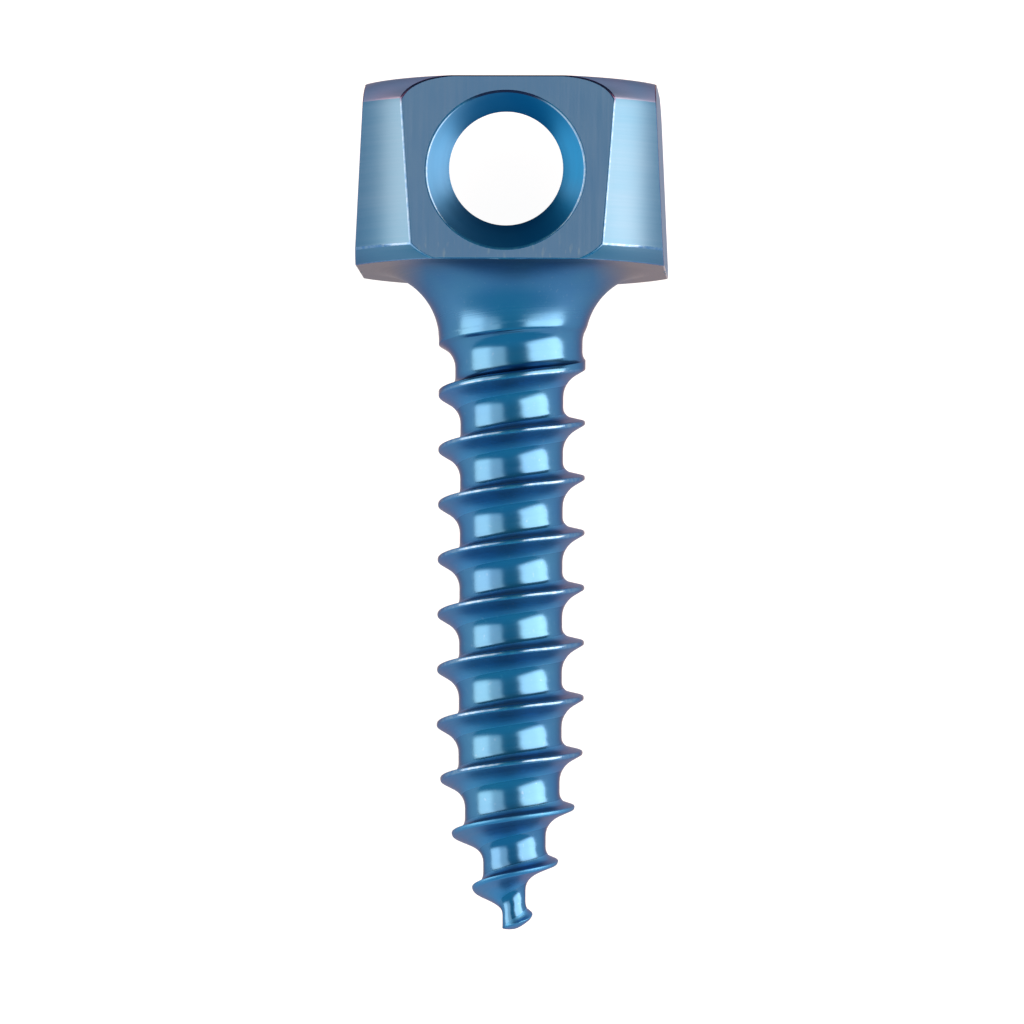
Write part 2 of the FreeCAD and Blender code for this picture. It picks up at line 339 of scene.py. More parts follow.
shank_points, wound, share = thread_surface()
turns_made = len(wound)
ROWS_PER_TURN = len(shank_points) // turns_made
print("thread grid:", shank_points.shape[:2], "rows a turn:", ROWS_PER_TURN)

# %% [markdown]
# ## Finishes along the section
# The land is all that is left of the turned blank, a band as thin as a sheet of paper, and the packing
# has rubbed it a little. Its faces and its rounds wear the worn finish, but for the last crests, which
# the bigger ones kept from rubbing. The cutter's flanks leave the two sides of the groove softer than its
# root.
# The grain runs along the helix: the way wound round the screw, by the way down the section.

# %% Keep the shank
LAST_RUBBED = -9.4
SECTION_LENGTH = 1.3 * PITCH
LOAD_ROOT_CELLS = 3
TRAIL_ROOT_CELLS = 4
load_foot = 1 + LOAD_CELLS[0] + LOAD_CELLS[1]
trail_top = ROWS_PER_TURN - LAND_CELLS + 1 - TRAIL_CELLS[0]
trail_foot = trail_top - TRAIL_CELLS[1]
row_finish = np.full(ROWS_PER_TURN, FINISHES.index("gloss"))
row_finish[LOAD_CELLS[0]:load_foot + LOAD_ROOT_CELLS] = FINISHES.index("flank")
row_finish[trail_foot - TRAIL_ROOT_CELLS:trail_top] = FINISHES.index("flank")
row_finish[:LOAD_CELLS[0]] = FINISHES.index("edge")
row_finish[trail_top:] = FINISHES.index("edge")
full_groove = (share[:, :-1] <= 0)[:, None, :]
groove_finish = np.where(full_groove, row_finish[None, :, None], FINISHES.index("gloss"))
shank_finish = groove_finish.reshape(-1, COLUMNS)[:len(shank_points) - 1]
face_heights = shank_points[:-1, :-1, 2]
last_crests = (face_heights < LAST_RUBBED) & (shank_finish == FINISHES.index("edge"))
shank_finish[last_crests] = FINISHES.index("flank")
along_helix = np.repeat(wound * 2 * math.pi * CORE_RADIUS, ROWS_PER_TURN, axis=0)
across_groove = np.tile(np.linspace(0, SECTION_LENGTH, ROWS_PER_TURN), turns_made)[:, None]
keep_grid(shank_points, shank_finish, along_helix, across_groove)
print("faces of each finish:", np.bincount(shank_finish.ravel(), minlength=len(FINISHES)))

# %% [markdown]
# ## Head
# The head is a turned disc whose four sides are milled flat, leaning in slightly towards the end. A
# Boolean of a cylinder and four blocks would give long crooked faces that mar a gloss finish. Here the
# place where a flat meets the turned corner is worked out for every height, and the grid's columns are
# stretched to lie exactly on it.

# %% Head outline by height
CROWN_CELLS = 14
SIDE_ROWS = 19
SEAT_EDGE_CELLS = 5
CROWN_FOOT = HEAD_HEIGHT - CROWN_HEIGHT
crown_rows = arc_between((HEAD_RADIUS - CROWN_WIDTH, HEAD_HEIGHT), (HEAD_RADIUS, CROWN_FOOT),
                         CROWN_RADIUS, CROWN_CELLS + 1)
side_heights = np.linspace(CROWN_FOOT, SEAT_EDGE_HEIGHT, SIDE_ROWS + 1)
side_rows = np.stack([np.full(SIDE_ROWS + 1, HEAD_RADIUS), side_heights], axis=1)
seat_edge_rows = arc_between((HEAD_RADIUS, SEAT_EDGE_HEIGHT), (HEAD_RADIUS - SEAT_EDGE_WIDTH, 0.0),
                             SEAT_EDGE_RADIUS, SEAT_EDGE_CELLS + 1)
outline = np.concatenate([crown_rows, side_rows[1:], seat_edge_rows[1:]])
outline_radius, outline_height = outline.T
flat_reach = ACROSS_FLATS / 2 - outline_height * math.tan(FLAT_TAPER)
crease = np.arccos(flat_reach / outline_radius)
outline_steps = np.linalg.norm(np.diff(outline, axis=0), axis=1)
outline_length = np.concatenate([[0], np.cumsum(outline_steps)])
print("crease at the seat", round(math.degrees(crease[-1]), 2), "degrees, rows", len(outline))


# %% One flat and one corner
def turned(points, degrees):
    """The points turned about the screw's axis: the usual rotation in the plane of x and y."""
    c, s = math.cos(math.radians(degrees)), math.sin(math.radians(degrees))
    x, y, z = np.moveaxis(points, -1, 0)
    return np.stack([c * x - s * y, s * x + c * y, z], axis=-1)


def flat_patch():
    """Grid of a plain flat that faces along x: across by share of the width, down by height."""
    across = np.linspace(-1, 1, SIDE_CELLS + 1)
    y = across * (outline_radius * np.sin(crease))[:, None]
    x = np.broadcast_to(flat_reach[:, None], y.shape)
    z = np.broadcast_to(outline_height[:, None], y.shape)
    return np.stack([x, y, z], axis=-1)


def corner_patch():
    """Grid of a turned corner between the flat along x and the next: angle by height."""
    share = np.linspace(0, 1, SIDE_CELLS + 1)
    angle = crease[:, None] + share * (math.pi / 2 - 2 * crease)[:, None]
    radius = outline_radius[:, None]
    z = np.broadcast_to(outline_height[:, None], angle.shape)
    return np.stack([radius * np.cos(angle), radius * np.sin(angle), z], axis=-1)


def around_axis(points):
    """Way round the screw's axis in millimetres at the head's radius: the angle times that radius."""
    return np.arctan2(points[..., 1], points[..., 0]) * HEAD_RADIUS


# %% [markdown]
# ## Faces of the head
# Each quarter gets its corner, its strip of the end face and its strip of the seat. The two side flats
# stay plain. The front and back flats are rings between their own outline and the mouth of the eyelet.
# Milling marks on the flats run up and down; turning marks on the rest run round the axis.

# %% Corners, end face and seat
flat = flat_patch()
corner = corner_patch()
corner_along = around_axis(corner)
corner_finish = np.full((len(outline) - 1, 1), FINISHES.index("corner"))
corner_finish[:CROWN_CELLS] = FINISHES.index("crown")
ring_angle = np.radians(FIRST_COLUMN + 360 * np.arange(COLUMNS + 1) / COLUMNS)
ring = SEAT_RING * np.stack([np.cos(ring_angle), np.sin(ring_angle), 0 * ring_angle], axis=-1)
end_shares = np.array([0, 0.25, 0.5, 0.75, 0.9, 0.97, 1])
seat_shares = np.array([0, 0.5, 0.85, 1])
for quarter in range(4):
    facing = -90 + 90 * quarter
    keep_grid(turned(corner, facing), corner_finish, corner_along, outline_length[:, None], flip=True)
    for place, patch in enumerate((flat, corner)):
        top_row = patch[0]
        way_round = around_axis(top_row)[None, :]
        centre = np.broadcast_to([0, 0, HEAD_HEIGHT], top_row.shape)
        end_face = turned(ramp(centre, top_row, end_shares), facing)
        keep_grid(end_face, "crown", way_round, end_shares[:, None] * HEAD_RADIUS, flip=True)
        first = (2 * quarter + place) * SIDE_CELLS
        inner = ring[first:first + SIDE_CELLS + 1]
        seat = ramp(inner, turned(patch[-1], facing), seat_shares)
        keep_grid(seat, "gloss", way_round, seat_shares[:, None])
    if quarter % 2:
        keep_grid(turned(flat, facing), "flat", flat[..., 2], flat[..., 1], flip=True)
print("grids so far:", len(grids))

# %% [markdown]
# ## Eyelet
# The eyelet is bored straight through, and each mouth is rounded so that a suture isn't cut. A ring of
# points runs round the flat's outline, the next ones round the mouth, down its rounding and through the
# bore. Taken from a little below, the photograph shows a clear round view through, in the middle of the
# mouth. The bore gives it: its waist lies close behind the front mouth and a little high, and from
# there it widens towards the back.

# %% Rings of the eyelet
MOUTH_CELLS = 12
BORE_CELLS = 16
mouth_depth = MOUTH_RADIUS - BORE_RADIUS
mouth_height = BORE_HEIGHT + mouth_depth * math.sin(FLAT_TAPER)
mouth_reach = ACROSS_FLATS / 2 - mouth_height * math.tan(FLAT_TAPER)


def outline_loop(patch):
    """The four sides of a grid as one closed loop that starts at its lower left corner."""
    sides = [patch[-1, :-1], patch[:0:-1, -1], patch[0, :0:-1], patch[:-1, 0]]
    return np.concatenate(sides + [patch[-1:, 0]])


def loop_angles(loop):
    """Angle of each outline point about the mouth's centre, in the plane of the flat."""
    rise = (loop[:, 2] - mouth_height) / math.cos(FLAT_TAPER)
    return np.unwrap(np.arctan2(rise, loop[:, 0] - MOUTH_SHIFT))


def eyelet_ring(angles, radius, depth, tilt, height, shift):
    """Circle square to an axis that leans by the tilt, at a depth below the front flat."""
    y = -mouth_reach + depth + radius * np.sin(angles) * math.sin(tilt)
    z = height + radius * np.sin(angles) * math.cos(tilt)
    return np.stack([shift + radius * np.cos(angles), y, z], axis=-1)


def flare(angles, wide, narrow, mouth_rise, foot_rise, shift):
    """Rings of a mouth's rounding, from the flat down to the bore: an arc that grows steeper.

    The arc's lean grows from the mouth's edge to its foot. Its reach inwards, the sine of the lean, is
    scaled to run from the wide to the narrow radius, and with the share of the way the ring's centre
    and tilt go over from the leaning flat's to the bore's own.
    """
    rings = []
    arc_radius = mouth_depth / (math.sin(MOUTH_FOOT) - math.sin(MOUTH_EDGE))
    for share in np.linspace(0, 1, MOUTH_CELLS):
        lean = MOUTH_EDGE + share * (MOUTH_FOOT - MOUTH_EDGE)
        inwards = (math.sin(lean) - math.sin(MOUTH_EDGE)) * arc_radius / mouth_depth
        depth = arc_radius * (math.cos(MOUTH_EDGE) - math.cos(lean))
        height = (mouth_height + mouth_rise) * (1 - share) + (BORE_HEIGHT + foot_rise) * share
        radius = wide - inwards * (wide - narrow)
        rings.append(eyelet_ring(angles, radius, depth, FLAT_TAPER * (1 - share), height, shift))
    return np.stack(rings)


# %% Front and back of the eyelet
front = turned(flat, -90)
loop = outline_loop(front)
even_angles = np.linspace(0, 2 * math.pi, len(loop)) + loop_angles(loop)[0]
angles = 0.5 * even_angles + 0.5 * loop_angles(loop)
front_flare = flare(angles, MOUTH_RADIUS, BORE_RADIUS, 0, WAIST_RISE, MOUTH_SHIFT)
back_flare = flare(angles, BACK_MOUTH_RADIUS, BACK_BORE_RADIUS, BACK_RISE, BACK_RISE, BACK_SHIFT)
back_flare = back_flare[::-1] * [1, -1, 1]
back_loop = loop * [1, -1, 1]
flat_shares = [0, 0.2, 0.5, 0.8, 1]
front_ring = ramp(loop, front_flare[0], flat_shares)
back_ring = ramp(back_flare[-1], back_loop, flat_shares)
bore = ramp(front_flare[-1], back_flare[0], np.linspace(0, 1, BORE_CELLS + 1))
way_round_bore = angles[None, :] * BORE_RADIUS
keep_grid(front_ring, "flat", front_ring[..., 2], front_ring[..., 0])
keep_grid(back_ring, "flat", back_ring[..., 2], back_ring[..., 0])
for rings in (front_flare, bore, back_flare):
    keep_grid(rings, "eyelet", way_round_bore, rings[..., 1])
print("mouth rings of", len(loop), "points, bore", BORE_RADIUS, "to", BACK_BORE_RADIUS, "mm in radius")

# %% [markdown]
# ## Laying the screw down
# The upright points are turned about the x axis until the screw lies as it rests, with the head raised
# by its own width, and moved so that the seat comes to its place in the CAD frame. The mesh takes them
# in metres, and points that lie together are merged, so that the surface closes.

# %% Lay down and merge
DIP_TURN = math.radians(REST_DIP - 90)
MERGE_CELLS = 5000


def laid_down(points):
    """Points turned about x by the dip less a right angle, moved to the seat's place, in metres."""
    x, y, z = points.T
    c, s = math.cos(DIP_TURN), math.sin(DIP_TURN)
    return (np.stack([x, y * c - z * s, y * s + z * c], axis=1) + SEAT_AT) / 1000


def gather(parts):
    """One array each of points, faces, finishes and grain from the list of grids."""
    starts = np.cumsum([0] + [len(part[0]) for part in parts[:-1]])
    points, _, worn, grain = [np.concatenate(column) for column in zip(*parts)]
    faces = np.concatenate([part[1] + start for part, start in zip(parts, starts)])
    return points, faces, worn, grain


def merged(points, faces):
    """Points that share a place become one. Returns them, the owner of each old point, and two lists.

    The first list has the faces that kept four corners, the second those left with three, whose
    repeated corner is taken out. Faces with fewer are dropped.
    """
    keys = np.round(points * MERGE_CELLS).astype(np.int64)
    _, first, owner = np.unique(keys, axis=0, return_index=True, return_inverse=True)
    owner = owner.reshape(-1)
    owned = owner[faces]
    repeated = owned == np.roll(owned, -1, axis=1)
    count = repeated.sum(axis=1)
    kept_corners = np.sort(np.argsort(repeated, axis=1, kind="stable")[:, :3], axis=1)
    thin = np.take_along_axis(faces, kept_corners, axis=1)
    thin_owned = owner[thin]
    proper = (thin_owned[:, 0] != thin_owned[:, 2]) & (count == 1)
    return points[first], owner, np.flatnonzero(count == 0), np.flatnonzero(proper), thin


points, faces, worn, grain = gather(grids)
points, owner, whole, cut_short, thin_faces = merged(points, faces)
print("points", len(points), "four-sided", len(whole), "three-sided", len(cut_short))

# %% Build the mesh
corner_sources = np.concatenate([faces[whole].ravel(), thin_faces[cut_short].ravel()])
face_starts = np.concatenate([4 * np.arange(len(whole)), 4 * len(whole) + 3 * np.arange(len(cut_short))])
mesh = bpy.data.meshes.new("anchor_screw_surface")
mesh.vertices.add(len(points))
mesh.vertices.foreach_set("co", laid_down(points).ravel())
mesh.loops.add(len(corner_sources))
mesh.loops.foreach_set("vertex_index", owner[corner_sources])
mesh.polygons.add(len(face_starts))
mesh.polygons.foreach_set("loop_start", face_starts)
mesh.polygons.foreach_set("material_index", np.concatenate([worn[whole], worn[cut_short]]))
mesh.polygons.foreach_set("use_smooth", np.ones(len(face_starts), dtype=bool))
mesh.update(calc_edges=True)
grain_map = mesh.uv_layers.new(name="grain")
grain_map.uv.foreach_set("vector", grain[corner_sources].astype(np.float32).ravel())
changed = mesh.validate()
print("faces", len(mesh.polygons), "edges", len(mesh.edges), "needed mending:", changed)

# %% Check that the surface is closed
loop_edges = np.empty(len(mesh.loops), dtype=np.int64)
mesh.loops.foreach_get("edge_index", loop_edges)
uses = np.bincount(loop_edges, minlength=len(mesh.edges))
print("edges used other than twice:", int((uses != 2).sum()))

# %% [markdown]
# ## Edges
# A milled edge is never perfectly sharp: it is broken by a hair's breadth, and that thin band catches
# the light. The edges where two faces of the head meet at more than a set angle are marked by a weight,
# and a Bevel modifier breaks only those. Two stay as they are: the crown runs softly into the corners,
# and the waist of the bore is a clean edge that is only shaded crisp.

# %% Find how far the surface bends at each edge
face_normals = np.empty(3 * len(mesh.polygons))
mesh.polygons.foreach_get("normal", face_normals)
face_normals = face_normals.reshape(-1, 3)
loop_totals = np.empty(len(mesh.polygons), dtype=np.int64)
mesh.polygons.foreach_get("loop_total", loop_totals)
loop_faces = np.repeat(np.arange(len(mesh.polygons)), loop_totals)
by_edge = np.argsort(loop_edges, kind="stable")
first_use = np.searchsorted(loop_edges[by_edge], np.arange(len(mesh.edges)))
one_side = loop_faces[by_edge][first_use]
other_side = loop_faces[by_edge][np.minimum(first_use + 1, len(by_edge) - 1)]
agreement = (face_normals[one_side] * face_normals[other_side]).sum(axis=1)
bend = np.degrees(np.arccos(np.clip(agreement, -1, 1)))
print("sharpest bend", round(float(bend.max()), 1), "degrees")

# %% Mark and break the head's edges
BROKEN_BEND = 14
EDGE_BREAK = 0.000025
TOUCHING = 0.001
edge_ends = np.empty(2 * len(mesh.edges), dtype=np.int64)
mesh.edges.foreach_get("vertices", edge_ends)
edge_points = points[edge_ends.reshape(-1, 2)]
on_head = (edge_points[..., 2] > -TOUCHING).all(axis=1)
soft_border = (abs(edge_points[..., 2] - CROWN_FOOT) < TOUCHING).all(axis=1)
waist_places = edge_points - [MOUTH_SHIFT, 0, BORE_HEIGHT + WAIST_RISE]
waist_radii = np.hypot(waist_places[..., 0], waist_places[..., 2])
waist = (waist_radii < BORE_RADIUS + TOUCHING).all(axis=1)
bent = on_head & (uses == 2) & (bend > BROKEN_BEND)
sharp = bent & ~soft_border & ~waist
weights = mesh.attributes.new("bevel_weight_edge", "FLOAT", "EDGE")
weights.data.foreach_set("value", sharp.astype(np.float32))
crisp = mesh.attributes.new("sharp_edge", "BOOLEAN", "EDGE")
crisp.data.foreach_set("value", bent & waist)
screw = bpy.data.objects.new("anchor_screw_surface", mesh)
bpy.context.scene.collection.objects.link(screw)
bevel = screw.modifiers.new("broken edges", "BEVEL")
bevel.limit_method = "WEIGHT"
bevel.width = EDGE_BREAK
bevel.segments = 2
bevel.use_clamp_overlap = False
bevel.harden_normals = True
bevel.material = FINISHES.index("edge")
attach(screw, "root")
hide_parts("anchor_screw")
print("edges to break:", int(sharp.sum()))
depsgraph = bpy.context.evaluated_depsgraph_get()
broken = screw.evaluated_get(depsgraph).to_mesh()
print("faces with broken edges:", len(broken.polygons), "edge bands:",
      sum(face.material_index == FINISHES.index("edge") for face in broken.polygons))

# %% [markdown]
# ## Anodised titanium
# The blue is no paint. A clear oxide film thinner than the wavelength of light takes its colour from
# interference, so the metal shines through it: highlights are pale and the blue is deepest between
# them. Towards the outline the film looks purple-grey, which the metal shader's edge tint gives. Each
# material sets those constants on its shader, and a few noises add what tools and handling left: fine
# marks along the grain, clouds in the film's thickness, and small flecks where it is rubbed thin.

# %% Node helpers
MILLIMETRES = 1000
MICRON = 0.000001


def add_node(tree, kind, **values):
    """A new node of a kind, with the values of its settings and inputs given by name."""
    node = tree.nodes.new(kind)
    for name, value in values.items():
        if hasattr(node, name):
            setattr(node, name, value)
        else:
            node.inputs[name.replace("_", " ").title()].default_value = value
    return node


def start_metal(name, constants):
    """A metal material whose shader's sockets take the constants given by their names."""
    material = bpy.data.materials.new(name)
    material.use_nodes = True
    tree = material.node_tree
    shader = tree.nodes["Principled BSDF"]
    shader.inputs["Metallic"].default_value = 1
    for socket, value in constants.items():
        shader.inputs[socket].default_value = value
    return material, tree, shader


def screw_place(tree):
    """Object coordinates brought back to the upright frame in millimetres: turned, scaled, moved."""
    place = add_node(tree, "ShaderNodeTexCoord")
    back = Matrix.Rotation(-DIP_TURN, 3, "X")
    upright = add_node(tree, "ShaderNodeMapping")
    upright.inputs["Scale"].default_value = (MILLIMETRES,) * 3
    upright.inputs["Rotation"].default_value = (-DIP_TURN, 0, 0)
    upright.inputs["Location"].default_value = -(back @ Vector(SEAT_AT))
    tree.links.new(place.outputs["Object"], upright.inputs["Vector"])
    return upright.outputs["Vector"]


def grain_noise(tree, along, across, detail=3.0):
    """Noise stretched along the cutter's marks: so many features a millimetre along and across them."""
    place = add_node(tree, "ShaderNodeUVMap", uv_map="grain")
    stretch = add_node(tree, "ShaderNodeMapping")
    stretch.inputs["Scale"].default_value = (along, across, 1)
    noise = add_node(tree, "ShaderNodeTexNoise", scale=1.0, detail=detail)
    tree.links.new(place.outputs["UV"], stretch.inputs["Vector"])
    tree.links.new(stretch.outputs["Vector"], noise.inputs["Vector"])
    return noise.outputs["Fac"]


def cloud_noise(tree, place, per_millimetre, detail=2.0):
    """Noise in the screw's own frame, with so many features a millimetre in every direction."""
    noise = add_node(tree, "ShaderNodeTexNoise", scale=per_millimetre, detail=detail)
    tree.links.new(place, noise.inputs["Vector"])
    return noise.outputs["Fac"]


def remapped(tree, value, low, high, to_low, to_high):
    """A value carried from one range to another, held at the ends."""
    node = add_node(tree, "ShaderNodeMapRange")
    for socket, number in zip(("From Min", "From Max", "To Min", "To Max"), (low, high, to_low, to_high)):
        node.inputs[socket].default_value = number
    tree.links.new(value, node.inputs["Value"])
    return node.outputs["Result"]


def mixed(tree, factor, first, second):
    """One colour going over into another; each is a constant or another node's output."""
    node = tree.nodes.new("ShaderNodeMix")
    node.data_type = "RGBA"
    tree.links.new(factor, node.inputs["Factor"])
    for socket, color in ((node.inputs[6], first), (node.inputs[7], second)):
        if isinstance(color, tuple):
            socket.default_value = (*color, 1)
        else:
            tree.links.new(color, socket)
    return node.outputs[2]


def combined(tree, operation, first, second):
    """Two values joined by a Math operation; the second may be a plain number."""
    node = tree.nodes.new("ShaderNodeMath")
    node.operation = operation
    tree.links.new(first, node.inputs[0])
    if isinstance(second, (int, float)):
        node.inputs[1].default_value = second
    else:
        tree.links.new(second, node.inputs[1])
    return node.outputs[0]


def bumped(tree, shader, height, distance):
    """The shader's normal bent by a height, whose full range stands for a distance in metres."""
    bump = add_node(tree, "ShaderNodeBump", distance=distance, strength=1.0)
    tree.links.new(height, bump.inputs["Height"])
    tree.links.new(bump.outputs["Normal"], shader.inputs["Normal"])


# %% [markdown]
# ## Gloss
# The thread and the neck were turned and polished, then anodised. Their highlights keep crisp outlines,
# so the roughness is low in the roots, and higher on the flanks, where the cutter rubbed, and up the
# neck. Fine marks follow the helix, and the film's blue drifts a little between a greener and a deeper
# one. Left and right on the seat and just below it, the colour goes over to grey.

# %% Gloss of the thread and the neck
EDGE_TINT = (0.54, 0.42, 0.42, 1)
FLANK_TINT = (0.74, 0.45, 0.38, 1)
NECK_ROUGHNESS = 0.42
SEAT_GREY = (0.22, 0.25, 0.28)
WORN_BLUE = (0.15, 0.28, 0.44)


def make_gloss(name, first, second, roughness, tint):
    """Blue metal in clouds between two films, with marks along the helix, a softer neck, a grey seat."""
    material, tree, shader = start_metal(name, {"Specular Tint": tint})
    place = screw_place(tree)
    clouds = remapped(tree, cloud_noise(tree, place, 0.9), 0.35, 0.65, 0, 1)
    film = mixed(tree, clouds, first, second)
    flecks = remapped(tree, cloud_noise(tree, place, 14.0, 3.0), 0.64, 0.75, 0, 0.3)
    parts = add_node(tree, "ShaderNodeSeparateXYZ")
    tree.links.new(place, parts.inputs["Vector"])
    # The colour goes over to grey on the left and right of the seat and the neck just below it.
    aside = remapped(tree, combined(tree, "ABSOLUTE", parts.outputs["X"], 0), 1.5, 2.2, 0, 0.9)
    near_seat = remapped(tree, parts.outputs["Z"], -0.5, -0.1, 0, 1)
    seat_greyed = mixed(tree, combined(tree, "MULTIPLY", aside, near_seat), film, SEAT_GREY)
    tree.links.new(mixed(tree, flecks, seat_greyed, WORN_BLUE), shader.inputs["Base Color"])
    marks = grain_noise(tree, 0.7, 22.0)
    softness = remapped(tree, parts.outputs["Z"], -1.0, -0.4, roughness, NECK_ROUGHNESS)
    uneven = combined(tree, "ADD", softness, remapped(tree, marks, 0.3, 0.7, -0.03, 0.03))
    tree.links.new(uneven, shader.inputs["Roughness"])
    bumped(tree, shader, marks, 1.0 * MICRON)
    return material


mesh.materials.append(make_gloss("blue gloss", (0.045, 0.17, 0.36), (0.05, 0.19, 0.36),
                                 0.21, EDGE_TINT))
mesh.materials.append(make_gloss("blue flank", (0.04, 0.20, 0.44), (0.045, 0.22, 0.44),
                                 0.42, FLANK_TINT))

# %% [markdown]
# ## Turned corners and crown
# The corners between the flats keep the turned surface of the bar: rings round the axis, softer in
# gloss. The rounded end of the head is painted more purple than blue: a painted reflection, the
# purple-grey that the film shows at a glancing angle.

# %% Corners and crown
CROWN_TINT = (0.36, 0.36, 0.38, 1)


def make_turned(name, first, second, tint, roughness):
    """Turned metal: rings round the axis in roughness and bump, colour in slow drifts between two films."""
    material, tree, shader = start_metal(name, {"Specular Tint": tint})
    place = screw_place(tree)
    clouds = remapped(tree, cloud_noise(tree, place, 0.6), 0.35, 0.65, 0, 1)
    film = mixed(tree, clouds, first, second)
    rings = grain_noise(tree, 0.3, 18.0)
    shade = remapped(tree, rings, 0.4, 0.75, 0, 0.12)
    tree.links.new(mixed(tree, shade, film, WORN_BLUE), shader.inputs["Base Color"])
    worn_roughness = remapped(tree, rings, 0.3, 0.7, roughness - 0.02, roughness + 0.03)
    tree.links.new(worn_roughness, shader.inputs["Roughness"])
    bumped(tree, shader, rings, 0.4 * MICRON)
    return material


mesh.materials.append(make_turned("blue corner", (0.05, 0.165, 0.30), (0.065, 0.18, 0.31),
                                  EDGE_TINT, 0.34))
# Painted reflection: the crown's purple-grey base colour stands for the film's tone at a glancing angle.
mesh.materials.append(make_turned("plum crown", (0.13, 0.21, 0.36), (0.19, 0.21, 0.34),
                                  CROWN_TINT, 0.40))

# %% [markdown]
# ## Milled flats
# The end mill left the flats satin, with fine scratches up and down, and the film on them looks greyer.
# Close to the seat the cutter pushed up small burrs, so the scratches are stronger there.

# %% Flats
FLAT_TINT = (0.46, 0.44, 0.46, 1)


def make_flat():
    """Satin metal: long fine scratches along the grain, and coarser short ones near the seat."""
    material, tree, shader = start_metal("satin flat", {"Specular Tint": FLAT_TINT})
    place = screw_place(tree)
    clouds = remapped(tree, cloud_noise(tree, place, 0.8), 0.3, 0.7, 0, 1)
    film = mixed(tree, clouds, (0.10, 0.22, 0.41), (0.12, 0.24, 0.42))
    fine = grain_noise(tree, 0.6, 26.0, 4.0)
    coarse = grain_noise(tree, 3.0, 12.0, 2.0)
    height = add_node(tree, "ShaderNodeSeparateXYZ")
    tree.links.new(place, height.inputs["Vector"])
    near_seat = remapped(tree, height.outputs["Z"], 0.05, 0.5, 0.7, 0.05)
    scores = combined(tree, "MULTIPLY", remapped(tree, coarse, 0.58, 0.75, 0, 1), near_seat)
    scratched = mixed(tree, remapped(tree, fine, 0.4, 0.75, 0, 0.12), film, (0.18, 0.27, 0.40))
    tree.links.new(mixed(tree, scores, scratched, (0.26, 0.36, 0.44)), shader.inputs["Base Color"])
    tree.links.new(remapped(tree, fine, 0.3, 0.7, 0.37, 0.42), shader.inputs["Roughness"])
    bumped(tree, shader, combined(tree, "ADD", fine, scores), 0.6 * MICRON)
    return material


mesh.materials.append(make_flat())

# %% [markdown]
# ## Eyelet
# The rounding of the mouths is satin too, so that the light runs round it in soft bands. A thin clear
# coat stands for the polish that the bore got from tumbling. Its blue is painted deeper to the right:
# a painted shade, since that side reflects the dimmer left lamp.

# %% Eyelet
def make_eyelet():
    """Satin blue with marks round the bore, under a thin clear polish; painted shade, a deeper blue to the
    right.
    """
    material, tree, shader = start_metal("blue eyelet", {
        "Specular Tint": (1.0, 0.8, 0.8, 1), "Coat Weight": 0.12, "Coat IOR": 1.5, "Coat Roughness": 0.3})
    place = screw_place(tree)
    parts = add_node(tree, "ShaderNodeSeparateXYZ")
    tree.links.new(place, parts.inputs["Vector"])
    # Painted shade: the blue is painted deeper towards the right, where the mouth reflects the dimmer lamp.
    side = remapped(tree, parts.outputs["X"], -1.2, 0.8, 0, 1)
    clouds = remapped(tree, cloud_noise(tree, place, 1.0), 0.35, 0.65, -0.2, 0.2)
    film = mixed(tree, combined(tree, "ADD", side, clouds), (0.022, 0.115, 0.27), (0.001, 0.088, 0.245))
    tree.links.new(film, shader.inputs["Base Color"])
    marks = grain_noise(tree, 0.6, 18.0)
    tree.links.new(remapped(tree, marks, 0.3, 0.7, 0.33, 0.38), shader.inputs["Roughness"])
    bumped(tree, shader, marks, 0.4 * MICRON)
    return material


mesh.materials.append(make_eyelet())

# %% [markdown]
# ## Worn edges
# Handling has rubbed the crests and the head's broken edges almost bare, so they flash paler than the
# rest, in broken sparkles rather than one clean line. Towards the end of the head the edges are painted
# a dark plum: painted shade along the rounding of the head's top edges.

# %% Worn edges
def make_edge():
    """Rubbed metal: pale where the film has gone, blue where it is left, and painted shade in dark plum
    near the head's end.
    """
    material, tree, shader = start_metal("rubbed edge", {"Specular Tint": EDGE_TINT})
    place = screw_place(tree)
    rubbed = remapped(tree, cloud_noise(tree, place, 11.0, 3.0), 0.4, 0.62, 0, 1)
    metal = mixed(tree, rubbed, (0.07, 0.20, 0.40), (0.12, 0.26, 0.43))
    height = add_node(tree, "ShaderNodeSeparateXYZ")
    tree.links.new(place, height.inputs["Vector"])
    # Painted shade: the edges near the head's end are darkened to a dark plum, the shading of their
    # rounding.
    painted_shade_near_end = remapped(tree, height.outputs["Z"], 2.8, 2.95, 0, 1)
    tree.links.new(mixed(tree, painted_shade_near_end, metal, (0.05, 0.035, 0.09)), shader.inputs["Base Color"])
    chatter = cloud_noise(tree, place, 26.0)
    tree.links.new(remapped(tree, chatter, 0.3, 0.7, 0.14, 0.20), shader.inputs["Roughness"])
    bumped(tree, shader, chatter, 0.4 * MICRON)
    return material


mesh.materials.append(make_edge())
print("materials:", [material.name for material in mesh.materials])

# %% [markdown]
# ## Camera
# The photograph was taken from a little below the head's level, with a long lens, so the camera stands
# 190 mm off, nearly square to the screw's axis and 2.3 degrees to one side, and looks at the middle of the
# screw. The numbers come from the shapes in the photograph: the head's flat, the mouth and the crests.

# %% Camera
CAMERA_DISTANCE = 190.0
CAMERA_TURN = math.radians(2.3)
CAMERA_HEIGHT = -16.7
AIM = (0.012, 0, -4.368)
ROLL = -0.0055
PHOTO_WIDTH = 1024
PIXELS_PER_MM = 55.15
SENSOR = 36


def from_upright(point):
    """World place in metres of a point given in the upright frame in millimetres."""
    return laid_down(np.array([point], dtype=float))[0]


def look_at(thing, place, target, up):
    """Stand an object at a place, its -Z axis towards the target and its Y axis towards up."""
    back = Vector(place - target).normalized()
    right = Vector(up).cross(back).normalized()
    matrix = Matrix((right, back.cross(right), back)).transposed().to_4x4()
    matrix.translation = Vector(place)
    thing.matrix_world = matrix


